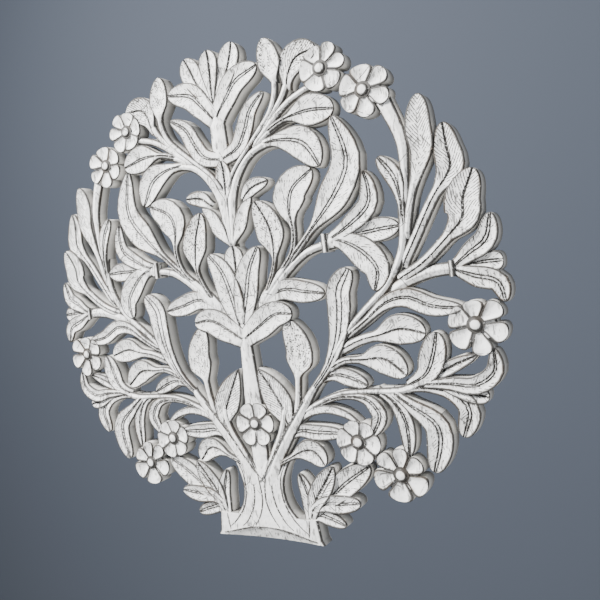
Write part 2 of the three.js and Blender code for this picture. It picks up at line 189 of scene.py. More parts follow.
# Foot: height and half width from its lower corner to its upper corner. FOOT_EDGE is the bowed edge of
# its sloped face: height in the middle, height at the ends, and how far out the ends lie. Under it the
# face slopes back by FOOT_SET_BACK in the middle, and less towards FOOT_SLOPE_REACH.
FOOT = [(-299, 74.5), (-293, 71), (-288, 68.5), (-280, 66.5), (-270, 68.5)]
FOOT_EDGE = (-284, -294, 50)
FOOT_TOP = 20.6
FOOT_SET_BACK = 6
FOOT_REACH = 70
FOOT_SLOPE_REACH = 66
FOOT_LEAST_LIP = 1.5

# Flowers of the right half: middle, and for each petal its direction in degrees and its reach
FLOWERS = [
    ((143, 233.5), ((4, 29), (52, 28), (105, 24.5), (175, 24), (243, 24.5), (316, 28))),
    ((187.5, 197.5), ((19, 30), (88, 25.5), (153, 26), (218, 27), (271, 29), (335, 30.5))),
    ((271.5, -57.5), ((36, 30.5), (90, 24), (150, 26.5), (225, 29), (278, 31), (338, 31))),
    ((176, -211.5), ((32, 27), (87, 28.5), (133, 30.5), (193, 31), (260, 29), (336, 30))),
    ((131.5, -177), ((51, 24.5), (103, 24), (166, 25), (232, 25.5), (285, 26), (356, 26))),
]
MIDDLE_FLOWER = ((0, -157), ((0, 26), (63, 26), (117, 26), (180, 26), (243, 28), (297, 28)))

# One petal pointing to the right: distance from the flower's middle and half its width
PETAL = [(4, 2), (7, 3.8), (10, 5.5), (13, 7.2), (16, 8.9), (18.5, 10.2), (20.5, 10.8), (22.3, 10.7),
         (23.9, 9.8), (25.2, 8.2), (26.2, 6), (26.8, 3.4), (27, 0.3)]
PETAL_REACH = 27
# Height of a petal's rim, its fall towards the button, its fall at the tip, and the depth of its cup
PETAL_RIM = 21.9
PETAL_INNER_FALL = 2.6
PETAL_TIP_FALL = 1.2
PETAL_CUP = 3.4

# Middle of a flower: radius, height and dome of the bed, of the dark groove and of the button on it
FLOWER_BED = (20, 18, 0.0)
FLOWER_GROOVE = (8.9, 21, 0.4)
FLOWER_BUTTON = (6.6, 21.9, 1.0)

# Leaves scored densely with slanting lines from middle to rim. The others have this share of scores.
FEATHERED = ("side_first", "side_second", "side_third", "stalk_low", "crown_round", "sprig_second")
FEW_SCORES = 0.3
# Leaves dotted with small pits
DOTTED = ("stalk_high", "heart_oval", "crown_round", "crown_oval")

# Width of the cuts that the columns of points leave room for, at every edge and beside every vein
CUT = 0.9

# A leaf of this width and more is dished to the full depth. Its neck is ridged and its tip falls away.
FULL_DISH_WIDTH = 26
NECK_RIDGE = 1.8
TIP_FALL = 0.8

# How far leaves lie over and under each other: their rims' distance from this height is multiplied
LAYER_HEIGHT = 20.2
LAYER_SPREAD = 2.4

# The ends of leaves and stems run down into the wood that carries them
END_DROP = 3.2
END_REACH = 11

# Backs of overlapping forms keep different small depths, up to this one, so that no two lie in one plane
BACK_DEPTH = 0.5

# Paint and wood, in metres: how far dark lines wander, how the scores on leaves run, how far in front of
# the wall still counts as the flat back, and how much the fibres are drawn out along the height
EDGE_WANDER = 0.0012
VEIN_WANDER = 0.0016
SCORE_SPACING = 0.0046
SCORE_SLANT = 1.5
SCORE_WANDER = 0.004
BACK_PLANE = 0.0007
GRAIN_STRETCH = 0.16

# Cut lines of the right half of trunk and foot, and how far their floor lies over the face before it is cut
LINE_LIFT = 1.25
LINES = {
    "trunk_bow": [(6, -216), (4, -228), (2.5, -242), (3, -254), (8, -269), (17, -283)],
    "trunk_side": [(16, -209), (13.5, -226), (13, -242), (17, -260), (27, -277), (36, -285)],
    "trunk_rim": [(33.5, -206), (27, -220), (25.2, -236), (27.5, -252), (34, -266), (46, -280), (56, -288)],
    "foot_edge": [(0, -284), (17, -285.4), (34, -288.5), (56, -294), (66, -296)],
    "foot_corner": [(58, -271), (57, -281), (55.5, -291)],
}
# The line up each main stem, and the least height of the face under it
FORK_LINE = [(-3, -228), (4, -220), (16, -203.5), (27, -187), (36.5, -173), (45, -161), (55, -148.5),
             (70, -130)]
FORK_FACE = 21.6


class Value:
    """A number that varies over a surface. Arithmetic on it adds Math nodes."""

    def __init__(self, tree, socket):
        self.tree = tree
        self.socket = socket

    def _math(self, operation, *terms):
        return self.tree.node("ShaderNodeMath", {"operation": operation}, *terms)

    def __add__(self, other):
        return self._math("ADD", self, other)

    __radd__ = __add__

    def __sub__(self, other):
        return self._math("SUBTRACT", self, other)

    def __rsub__(self, other):
        return self._math("SUBTRACT", other, self)

    def __mul__(self, other):
        return self._math("MULTIPLY", self, other)

    __rmul__ = __mul__

    def __truediv__(self, other):
        return self._math("DIVIDE", self, other)

    def __abs__(self):
        return self._math("ABSOLUTE", self)

    def fraction(self):
        return self._math("FRACT", self)

    def at_least(self, other):
        return self._math("MAXIMUM", self, other)

    def at_most(self, other):
        return self._math("MINIMUM", self, other)

    def above(self, other):
        return self._math("GREATER_THAN", self, other)

    def rise(self, low, high, first=0.0, last=1.0):
        """0 up to low, 1 from high on, with a soft change between them."""
        settings = {"interpolation_type": "SMOOTHSTEP"}
        return self.tree.node("ShaderNodeMapRange", settings, self, low, high, first, last)

    def fall(self, low, high):
        """1 up to low, 0 from high on."""
        return self.rise(low, high, 1.0, 0.0)


class Tree:
    """Makes the nodes of one material or one Geometry Nodes tree."""

    def __init__(self, tree):
        self.tree = tree
        tree.nodes.clear()

    def feed(self, socket, value):
        if isinstance(value, Value):
            self.tree.links.new(value.socket, socket)
        elif value is not None:
            socket.default_value = value

    def node(self, kind, settings=None, *values, out=0, named=None):
        """Makes one node: its settings first, then its inputs in order or by name. Gives one output."""
        made = self.tree.nodes.new(kind)
        for key, setting in (settings or {}).items():
            setattr(made, key, setting)
        for socket, value in zip(made.inputs, values):
            self.feed(socket, value)
        for key, value in (named or {}).items():
            self.feed(made.inputs[key], value)
        return Value(self, made.outputs[out]) if len(made.outputs) else None

    def mix(self, factor, first, second):
        settings = {"data_type": "RGBA", "clamp_factor": True}
        return self.node("ShaderNodeMix", settings, out=2, named={0: factor, 6: first, 7: second})

    def attribute(self, name):
        return self.node("ShaderNodeAttribute", {"attribute_name": name}, out="Fac")

    def read(self, name):
        """The same attribute in a Geometry Nodes tree."""
        return self.node("GeometryNodeInputNamedAttribute", {"data_type": "FLOAT"}, name)

    def noise(self, place, scale, detail=2.0, roughness=0.5):
        named = {"Vector": place, "Scale": scale, "Detail": detail, "Roughness": roughness}
        return self.node("ShaderNodeTexNoise", {}, named=named)


class CarvingSizes(bpy.types.PropertyGroup):
    """Sizes of the carving."""

    rim_bevel: bpy.props.FloatProperty(
        name="Edge rounding", description="Depth of the rounded edge of every carved form",
        default=CUT * MM, min=0, unit="LENGTH")
    leaf_dip: bpy.props.FloatProperty(
        name="Leaf dish", description="Depth of a leaf's middle under its rim",
        default=3.3 * MM, min=0, unit="LENGTH")
    stem_crown: bpy.props.FloatProperty(
        name="Stem ridge", description="Fall from a stem's ridge to its edges",
        default=2.6 * MM, min=0, unit="LENGTH")
    vein_depth: bpy.props.FloatProperty(
        name="Vein depth", description="Depth of the cut veins",
        default=1.1 * MM, min=0, unit="LENGTH")
    vein_width: bpy.props.FloatProperty(
        name="Vein half width", description="Half the width of a cut vein",
        default=CUT * MM, min=0, unit="LENGTH")
    line_width: bpy.props.FloatProperty(
        name="Cut line width", description="Width of the single cut lines on trunk and foot",
        default=2.3 * MM, min=0, unit="LENGTH")


class PaintColours(bpy.types.PropertyGroup):
    """Colours of the worn whitewash, and of the painted shade on it."""

    white: bpy.props.FloatVectorProperty(
        name="Whitewash", description="Paint on the carved faces", subtype="COLOR", size=4,
        default=(0.92, 0.92, 0.915, 1), min=0, max=1)
    thin: bpy.props.FloatVectorProperty(
        name="Thin whitewash", description="Where the paint lets the wood through", subtype="COLOR",
        size=4, default=(0.6, 0.6, 0.59, 1), min=0, max=1)
    side: bpy.props.FloatVectorProperty(
        name="Sawn sides", description="Paint on the sawn sides", subtype="COLOR", size=4,
        default=(0.66, 0.645, 0.61, 1), min=0, max=1)
    # Dark wood in the cuts, also the colour of the painted shade on the sides and beside edges and veins
    bare_wood_and_shade: bpy.props.FloatVectorProperty(
        name="Bare cuts", description="Dark wood in cuts and along edges", subtype="COLOR", size=4,
        default=(0.022, 0.019, 0.016, 1), min=0, max=1)
    worn: bpy.props.FloatVectorProperty(
        name="Worn wood", description="Brown wood where an edge is rubbed", subtype="COLOR", size=4,
        default=(0.36, 0.24, 0.14, 1), min=0, max=1)


def placed(name, data):
    """An object with this data, in the scene."""
    made = bpy.data.objects.new(name, data)
    bpy.context.scene.collection.objects.link(made)
    return made


def smooth(share):
    """Eases from 0 to 1."""
    share = min(1.0, max(0.0, share))
    return share * share * (3 - 2 * share)


def even_points(path, wanted, steps=40, look=0.01):
    """A smooth line through the path. For each wanted share of it, gives the share, the place, the
    direction there and the whole length in millimetres."""
    line = np.array(path, float)
    line = np.vstack([2 * line[0] - line[1], line, 2 * line[-1] - line[-2]])
    places = []
    for i in range(1, len(line) - 2):
        before, start, end, after = line[i - 1 : i + 3]
        for u in np.linspace(0, 1, steps, endpoint=False):
            places.append(
                0.5 * (2 * start + (end - before) * u
                       + (2 * before - 5 * start + 4 * end - after) * u ** 2
                       + (3 * start - before - 3 * end + after) * u ** 3))
    places.append(line[-2])
    places = np.array(places)
    lengths = np.concatenate([[0], np.cumsum(np.linalg.norm(np.diff(places, axis=0), axis=1))])
    shares = lengths / lengths[-1]

    def at(share):
        return np.array([np.interp(share, shares, places[:, 0]), np.interp(share, shares, places[:, 1])])

    for share in wanted:
        ahead = at(min(1, share + look)) - at(max(0, share - look))
        yield share, at(share), ahead / np.linalg.norm(ahead), lengths[-1]


class Carving:
    """Closed forms in the board, gathered into one mesh with what the carving rule needs.

    Each point has its distance from the form's middle line (across), half the form's width (half), the
    rim's height (level), the dish's depth (dip), the fall from ridge to edge (crown), how far the veins
    lie from the middle line or a negative number (vein), 1 on the front and 0 on the back (top), its
    distance from the root (along), and how much it is scored and pitted (feather, dots)."""

    POINT = ("across", "half", "level", "dip", "crown", "vein", "top", "along", "feather", "dots")
    GOLDEN_SHARE = 0.618034
    MIRRORED_SHIFT = 0.004

    forms = 0

    def __init__(self):
        self.points = []
        self.faces = []
        self.walls = []
        self.data = {name: [] for name in self.POINT}

    def back(self):
        """The depth of the next form's back. No two forms have the same."""
        Carving.forms += 1
        return BACK_DEPTH * (Carving.forms * self.GOLDEN_SHARE % 1)

    def point(self, x, z, depth=0.0, **data):
        self.points.append((x * MM, -depth * MM, z * MM))
        for name in self.POINT:
            self.data[name].append(data.get(name, 0.0))
        return len(self.points) - 1

    def face(self, *corners, wall=0.0):
        self.faces.append(corners)
        self.walls.append(wall)

    def strip(self, rows, columns):
        """Rows are (x, z, direction, half, numbers) along a form. Columns are shares of its width."""
        tops, backs, depth = [], [], self.back()
        for (x, z), direction, half, numbers in rows:
            side = np.array([direction[1], -direction[0]])
            top = []
            for share in columns(half, numbers):
                px, pz = np.array([x, z]) + side * share * half
                measures = {"across": share * half * MM, "half": half * MM, "top": 1.0} | numbers
                top.append(self.point(px, pz, **measures))
            tops.append(top)
            ends = [np.array([x, z]) + side * half * s for s in (1, -1)]
            backs.append([self.point(px, pz, depth, **({"half": half * MM} | numbers)) for px, pz in ends])
        for near, far, back_near, back_far in zip(tops, tops[1:], backs, backs[1:]):
            for k in range(len(near) - 1):
                self.face(near[k], near[k + 1], far[k + 1], far[k])
            self.face(near[-1], back_near[0], back_far[0], far[-1], wall=1.0)
            self.face(near[0], far[0], back_far[1], back_near[1], wall=1.0)
            self.face(back_near[0], back_near[1], back_far[1], back_far[0], wall=1.0)
        self.face(*reversed(tops[0]), backs[0][1], backs[0][0], wall=1.0)
        self.face(*tops[-1], backs[-1][0], backs[-1][1], wall=1.0)

    def mirror(self):
        """Adds every form again on the other side of the middle, its faces turned outwards again."""
        shift = len(self.points)
        self.points += [(-x, y - self.MIRRORED_SHIFT * MM, z) for x, y, z in self.points]
        for name in self.POINT:
            self.data[name] += self.data[name]
        self.faces += [tuple(reversed([i + shift for i in face])) for face in self.faces]
        self.walls += self.walls

    def mesh(self, name):
        made = bpy.data.meshes.new(name)
        made.from_pydata(self.points, [], self.faces)
        for key, numbers in self.data.items():
            made.attributes.new(key, "FLOAT", "POINT").data.foreach_set("value", numbers)
        made.attributes.new("wall", "FLOAT", "FACE").data.foreach_set("value", self.walls)
        made.update()
        return made


def leaf_columns(half, numbers):
    """Where a leaf is cut across its width: edges, rounding, dish and both sides of each vein."""
    edge = max(0.5, 1 - CUT / half)
    vein = numbers["vein"] / MM
    if vein < 0:
        right = [0.2, 0.45, 0.72, edge, 1]
    else:
        outer = min(0.85 * edge, (vein + CUT) / half)
        middle = min(0.8 * outer, vein / half)
        inner = min(0.8 * middle, max(0.0, vein - CUT) / half)
        dish = [outer + (edge - outer) * u for u in (0.33, 0.67)]
        right = [max(0.01, inner), max(0.02, middle), outer, *dish, edge, 1]
    return [-share for share in reversed(right)] + [0.0] + right


def sunk(reach):
    """How far a form's end lies under its level, so that it runs out into the one that carries it."""
    return END_DROP * max(0.0, 1 - reach / END_REACH) ** 2


def add_leaf(carving, name, form, dip):
    """A leaf or petal along its middle line, from a narrow neck to a blunt tip."""
    path, width, neck, stem, belly, blunt, rim, vein = form
    height = LAYER_HEIGHT + (rim - LAYER_HEIGHT) * LAYER_SPREAD
    rise = [stem + (belly - stem) * u for u in np.linspace(0, 1, 9)]
    root = list(np.linspace(0, stem, 1 + round(stem * 18), endpoint=False)) if stem > 0.03 else []
    turn = np.linspace(0, math.pi / 2, 11)[1:]
    tip = [belly + (1 - belly) * math.sin(a) for a in turn]
    rows = []
    for share, place, direction, length in even_points(path, root + rise + tip):
        grown = smooth((share - stem) / (belly - stem))
        past = max(0.0, (share - belly) / (1 - belly))
        half = (neck + (width - neck) * grown) / 2 * max(0.0, 1 - past * past) ** blunt
        # A pair of veins draws together towards the root and the tip
        apart = 0.35 + 0.65 * grown * (1 - 0.8 * past ** 2)
        numbers = {
            "level": (height - TIP_FALL * past ** 2 - sunk(share * length)) * MM,
            "dip": dip * grown * min(1.0, width / FULL_DISH_WIDTH) * (1 - past ** 3),
            "crown": NECK_RIDGE * MM * (1 - grown),
            "feather": (1.0 if name in FEATHERED else FEW_SCORES) * grown,
            "dots": float(name in DOTTED) * grown,
            "vein": (vein * apart if vein is not None else -1) * MM,
            "along": share * length * MM,
        }
        rows.append((place, direction, max(half, 0.25), numbers))
    carving.strip(rows, leaf_columns)


def stem_columns(half, numbers):
    """Where a stem is cut across its width. The two columns beside the middle make its narrow ridge."""
    edge = max(0.6, 1 - CUT / half)
    return [-1, -edge, -0.5, -0.08, 0.08, 0.5, edge, 1]


def add_stem(carving, form, crown, ends=True):
    """A ridged stem along a path. Its ends run down into the wood unless `ends` is false."""
    path, widths, top = form
    rows_per_span, full_ridge_half = 5, 5
    count = rows_per_span * (len(path) - 1) + 1
    rows = []
    marks = np.linspace(0, 1, len(widths))
    for share, place, direction, length in even_points(path, np.linspace(0, 1, count)):
        half = float(np.interp(share, marks, widths)) / 2
        drop = sunk(min(share, 1 - share) * length) if ends else 0.0
        numbers = {
            "level": (top - drop) * MM,
            "crown": crown * min(1.0, half / full_ridge_half),
            "vein": -1 * MM,
            "along": share * length * MM,
        }
        rows.append((place, direction, half, numbers))
    carving.strip(rows, stem_columns)


def trunk_height(x, z):
    """Height of the trunk's face, and of the foot's under it."""
    if z < TRUNK[0][0]:
        return FOOT_TOP
    half = float(np.interp(z, [row[0] for row in TRUNK], [row[1] for row in TRUNK]))
    top = TRUNK_TOP - TRUNK_SLOPE * max(0.0, z - TRUNK_SHOULDER)
    return top - TRUNK_CROWN * min(1.0, abs(x) / half)


def add_trunk(carving):
    """The trunk, with its face falling a little to both sides."""
    def columns(half, numbers):
        edge = 1 - CUT / half
        return [-1, -edge, -0.75, -0.5, -0.25, 0, 0.25, 0.5, 0.75, edge, 1]

    up = np.array([0.0, 1.0])
    rows = []
    for z, half in TRUNK:
        numbers = {"level": trunk_height(0, z) * MM, "crown": TRUNK_CROWN * MM, "vein": -1 * MM}
        rows.append((np.array([0.0, z]), up, half, numbers))
    carving.strip(rows, columns)


def add_foot(carving):
    """The foot's face slopes back below a bowed edge, most of all in its middle."""
    middle, end, reach = FOOT_EDGE
    shares = [-1, -0.985] + list(np.linspace(-0.9, 0.9, 19)) + [0.985, 1]
    sides = np.array(FOOT)
    tops, backs = [], []
    for kind in ("bottom", "edge", "upper"):
        top, back = [], []
        for share in shares:
            x_edge = share * FOOT_REACH
            bow = middle + (end - middle) * min(1.0, (x_edge / reach) ** 2)
            low, high = sides[0, 0], sides[-1, 0]
            z = {"bottom": low, "edge": max(bow, low + FOOT_LEAST_LIP), "upper": high}[kind]
            half = float(np.interp(z, sides[:, 0], sides[:, 1]))
            slope = max(0.0, 1 - (x_edge / FOOT_SLOPE_REACH) ** 2)
            drop = FOOT_SET_BACK * slope if kind == "bottom" else 0.0
            # Only the distance from the edge counts here, so half the width is given as 1
            numbers = {"level": (FOOT_TOP - drop) * MM, "vein": -1 * MM, "half": 1.0, "top": 1.0}
            from_edge = (1 - abs(share)) * half
            top.append(carving.point(share * half, z, across=1.0 - from_edge * MM, **numbers))
            numbers["top"] = 0.0
            back.append(carving.point(share * half, z, **numbers))
        tops.append(top)
        backs.append(back)
    for near, far, back_near, back_far in zip(tops, tops[1:], backs, backs[1:]):
        for k in range(len(near) - 1):
            carving.face(near[k], near[k + 1], far[k + 1], far[k])
            carving.face(back_near[k], back_far[k], back_far[k + 1], back_near[k + 1], wall=1.0)
        carving.face(near[-1], back_near[-1], back_far[-1], far[-1], wall=1.0)
        carving.face(near[0], far[0], back_far[0], back_near[0], wall=1.0)
    for k in range(len(shares) - 1):
        carving.face(tops[0][k], backs[0][k], backs[0][k + 1], tops[0][k + 1], wall=1.0)
        carving.face(tops[-1][k], tops[-1][k + 1], backs[-1][k + 1], backs[-1][k], wall=1.0)


def add_line(carving, path, width, least=0.0):
    """A cut line, dark over its whole width. It tapers to both ends."""
    rows = []
    for share, place, direction, length in even_points(path, np.linspace(0, 1, 6 * len(path))):
        half = width / MM / 2 * (0.4 + 0.6 * math.sin(math.pi * min(0.97, max(0.03, share))))
        level = max(trunk_height(*place), least) + LINE_LIFT
        numbers = {"level": level * MM, "vein": 0.0, "half": 1.0, "across": 0.0}
        rows.append((place, direction, half, numbers))
    carving.strip(rows, lambda half, numbers: [-1, 0, 1])


def new_tree(name, inputs):
    """A Geometry Nodes group with the named inputs after its geometry. Gives its tree and its inputs."""
    group = bpy.data.node_groups.new(name, "GeometryNodeTree")
    group.interface.new_socket("Geometry", in_out="OUTPUT", socket_type="NodeSocketGeometry")
    for label, kind in (("Geometry", "Geometry"), *inputs):
        group.interface.new_socket(label, in_out="INPUT", socket_type="NodeSocket" + kind)
    tree = Tree(group)
    given = group.nodes.new("NodeGroupInput")
    return tree, [Value(tree, given.outputs[i]) for i in range(len(inputs) + 1)]


def end_tree(tree, made, material):
    """Turns the result into real geometry with its material, and gives the finished group."""
    made = tree.node("GeometryNodeRealizeInstances", {}, made)
    made = tree.node("GeometryNodeSetMaterial", {}, named={"Geometry": made, "Material": material})
    tree.feed(tree.tree.nodes.new("NodeGroupOutput").inputs[0], made)
    return tree.tree


def carve_tree():
    """Geometry Nodes: raises the flat forms to their carved height and notes where edges and veins are."""
    tree, (forms, rounding, depth, width, material) = new_tree("Carve relief", (
        ("Edge rounding", "Float"), ("Vein depth", "Float"), ("Vein half width", "Float"),
        ("Material", "Material")))
    read = tree.read
    across, half, top, vein = abs(read("across")), read("half"), read("top"), read("vein")
    share = (across / half).at_most(1.0)
    edge = (half - across).at_least(0.0)
    has_vein = vein.above(-0.0005)
    gap = across - vein
    bowl = read("dip") * (1 - share * share)
    ridge = read("crown") * share
    bevel = rounding * (1 - edge / rounding).at_least(0.0)
    cut = depth * has_vein * (1 - abs(gap) / width).at_least(0.0)
    height = (read("level") - bowl - ridge - bevel - cut) * top
    offset = tree.node("ShaderNodeCombineXYZ", {}, 0.0, height * -1.0, 0.0)
    raised = tree.node("GeometryNodeSetPosition", {}, named={"Geometry": forms, "Offset": offset})
    below = read("level")
    noted = {
        "edge": edge * top + below * (1 - top),
        "vein_gap": gap * has_vein * top + (1 - has_vein * top),
    }
    for name, number in noted.items():
        raised = tree.node("GeometryNodeStoreNamedAttribute", {"data_type": "FLOAT", "domain": "POINT"},
                           named={"Geometry": raised, "Name": name, "Value": number})
    return end_tree(tree, raised, material)


def flower_tree():
    """Geometry Nodes: sets petals round the middle of each flower, and a bed and a button on it."""
    tree, (marks, petal, middle, material) = new_tree("Petals round a middle", (
        ("Petal", "Object"), ("Middle", "Object"), ("Material", "Material")))
    read = tree.read

    def shape(thing):
        return tree.node("GeometryNodeObjectInfo", {}, thing, out="Geometry")

    turn = tree.node("ShaderNodeCombineXYZ", {}, 0.0, read("direction") * -1.0, 0.0)
    size = tree.node("ShaderNodeCombineXYZ", {}, read("reach"), 1.0, read("spread"))
    petals = tree.node("GeometryNodeInstanceOnPoints", {},
                       named={"Points": marks, "Instance": shape(petal), "Rotation": turn, "Scale": size})
    middles = tree.node("GeometryNodeInstanceOnPoints", {},
                        named={"Points": marks, "Selection": read("first").above(0.5),
                               "Instance": shape(middle)})
    join = tree.node("GeometryNodeJoinGeometry")
    for part in (petals, middles):
        tree.feed(join.socket.node.inputs[0], part)
    return end_tree(tree, join, material)


def grown_object(name, mesh, group, inputs):
    """An object whose mesh is the tree's result, as a plain mesh."""
    raw = placed(name + "_flat", mesh)
    modifier = raw.modifiers.new("carving", "NODES")
    modifier.node_group = group
    for item in group.interface.items_tree:
        if item.in_out == "INPUT" and item.name in inputs:
            modifier[item.identifier] = inputs[item.name]
    bpy.context.view_layer.update()
    graph = bpy.context.evaluated_depsgraph_get()
    result = bpy.data.meshes.new_from_object(raw.evaluated_get(graph), preserve_all_data_layers=True,
                                             depsgraph=graph)
    bpy.data.objects.remove(raw)
    return placed(name, result)


def carve(name, carving):
    """An object with the gathered forms raised to their relief."""
    sizes = bpy.context.scene.panel_sizes
    group = bpy.data.node_groups.get("Carve relief") or carve_tree()
    inputs = {
        "Edge rounding": sizes.rim_bevel,
        "Vein depth": sizes.vein_depth,
        "Vein half width": sizes.vein_width,
        "Material": whitewash(),
    }
    return grown_object(name, carving.mesh(name), group, inputs)


def whitewash():
    """White paint on carved wood: thin in places, dark in the cuts and along broken edges, with painted
    shade on its sides and beside edges and veins.
    """
    name = "whitewash"
    if name in bpy.data.materials:
        return bpy.data.materials[name]
    colours = bpy.context.scene.panel_colours
    material = bpy.data.materials.new(name)
    material.use_nodes = True
    tree = Tree(material.node_tree)
    place = tree.node("ShaderNodeTexCoord", out="Object")
    grain = tree.node("ShaderNodeMapping", {}, named={"Vector": place, "Scale": (1, 1, GRAIN_STRETCH)})
    edge, gap, wall, along, across, feather, dots = (
        tree.attribute(a) for a in ("edge", "vein_gap", "wall", "along", "across", "feather", "dots"))
    face = 1 - wall
    back = tree.node("ShaderNodeSeparateXYZ", {}, place, out="Y").above(-BACK_PLANE)

    # Unevenness of the hand work, from the largest to the finest, and fibres drawn out along the grain
    cloudy = tree.noise(place, 14.0, 4.0)
    patchy = tree.noise(place, 70.0, 3.0)
    lumps = tree.noise(place, 75.0, 2.0)
    broken = tree.noise(place, 210.0, 2.0)
    fine = tree.noise(place, 480.0, 2.0)
    fibres = tree.noise(grain, 430.0, 3.0, 0.6)

    # Broken dark lines: along every edge and in every vein, wandering a little to both sides
    gap = abs(gap + (broken - 0.5) * VEIN_WANDER)
    edge_line = edge + (broken - 0.5) * EDGE_WANDER
    arris = edge_line.fall(0.0013, 0.0023) * fine.rise(0.24, 0.36)
    vein = gap.fall(0.0005, 0.0013) * fine.rise(0.34, 0.46)

    # Marks on the faces: slanting scores from middle to rim, small pits, and fine cracks in the paint
    score_line = along - abs(across) * SCORE_SLANT + (patchy - 0.5) * SCORE_WANDER
    score = abs((score_line / SCORE_SPACING).fraction() - 0.5)
    scored = score.fall(0.1, 0.2) * (broken + feather * 0.18).rise(0.58, 0.64) * feather.rise(0.05, 0.2)
    pits = tree.node("ShaderNodeTexVoronoi", {}, named={"Vector": place, "Scale": 330.0}, out="Distance")
    dotted = dots * pits.fall(0.24, 0.4) * patchy.rise(0.36, 0.46)
    crack = tree.node("ShaderNodeTexVoronoi", {"feature": "DISTANCE_TO_EDGE"},
                      named={"Vector": place, "Scale": 24.0}, out="Distance")
    cracked = crack.fall(0.004, 0.018) * cloudy.rise(0.5, 0.56) * broken.rise(0.4, 0.5)
    marks = scored.at_least(dotted).at_least(cracked * 0.8) * face
    cuts = arris.at_least(vein).at_least(marks)

    # Paint, from the first coat to the last trace of wear, with painted shade on the sides and beside edges
    # and veins
    thin = patchy.rise(0.45, 0.7) * 0.35 + cloudy.rise(0.45, 0.65) * 0.25
    # Painted shade: the sides darken towards the back of the board, much less on the flat back itself
    painted_wall_shade = edge.rise(0.003, 0.02) * wall * (0.7 - back * 0.6)
    flecks = fibres.rise(0.53, 0.6) * patchy.rise(0.4, 0.56)
    rubbed = edge.fall(0.0008, 0.003) * tree.noise(place, 32.0, 3.0).rise(0.56, 0.62)
    # Darker within a few millimetres of every edge and vein: partly grime, partly painted shade at the rims
    # and in the creases
    grime_and_shade = edge.fall(0.0, 0.005).at_least(gap.fall(0.0, 0.0035))
    colour = tree.mix(thin, colours.white, colours.thin)
    colour = tree.mix(wall * 0.8, colour, colours.side)
    colour = tree.mix(painted_wall_shade, colour, colours.bare_wood_and_shade)
    colour = tree.mix(flecks * (face * 0.6 + 0.1), colour, colours.bare_wood_and_shade)
    colour = tree.mix(rubbed * 0.75, colour, colours.worn)
    colour = tree.mix(grime_and_shade * 0.26, colour, colours.bare_wood_and_shade)
    colour = tree.mix(cuts * 0.96, colour, colours.bare_wood_and_shade)

    rough = patchy * 0.16 + 0.58
    height = fibres * 0.35 + broken * 0.4 + lumps * 2.6 - cuts * 0.9
    bump = tree.node("ShaderNodeBump", {}, named={"Strength": 0.7, "Distance": 0.0009, "Height": height})
    shader = tree.node("ShaderNodeBsdfPrincipled", {}, named={
        "Base Color": colour, "Roughness": rough, "Normal": bump})
    tree.node("ShaderNodeOutputMaterial", {}, shader)
    return material


class PANEL_OT_leaves(bpy.types.Operator):
    """Carves the leaves and petals of tree, crown and blooms"""

    bl_idname = "panel.leaves"
    bl_label = "Leaves"

    def execute(self, context):
        dip = context.scene.panel_sizes.leaf_dip
        carving = Carving()
        for name, form in LEAVES.items():
            add_leaf(carving, name, form, dip)
        carving.mirror()
        for name, form in MIDDLE_LEAVES.items():
            add_leaf(carving, name, form, dip)
        carve("leaves", carving)
        return {"FINISHED"}


class PANEL_OT_stems(bpy.types.Operator):
    """Carves the boughs, stems, stalk and collars"""

    bl_idname = "panel.stems"
    bl_label = "Stems"

    def execute(self, context):
        crown = context.scene.panel_sizes.stem_crown
        carving = Carving()
        for form in STEMS.values():
            add_stem(carving, form, crown)
        for form in COLLARS.values():
            add_stem(carving, form, 0.4 * MM, ends=False)
        carving.mirror()
        for form in STALKS.values():
            add_stem(carving, form, crown)
        carve("stems", carving)
        return {"FINISHED"}


class PANEL_OT_trunk(bpy.types.Operator):
    """Carves the trunk and the foot with its sloped face and cut lines"""

    bl_idname = "panel.trunk"
    bl_label = "Trunk and foot"

    def execute(self, context):
        width = context.scene.panel_sizes.line_width
        carving = Carving()
        for form in LINES.values():
            add_line(carving, form, width)
        add_line(carving, FORK_LINE, width, FORK_FACE)
        carving.mirror()
        add_trunk(carving)
        add_foot(carving)
        carve("trunk", carving)
        return {"FINISHED"}


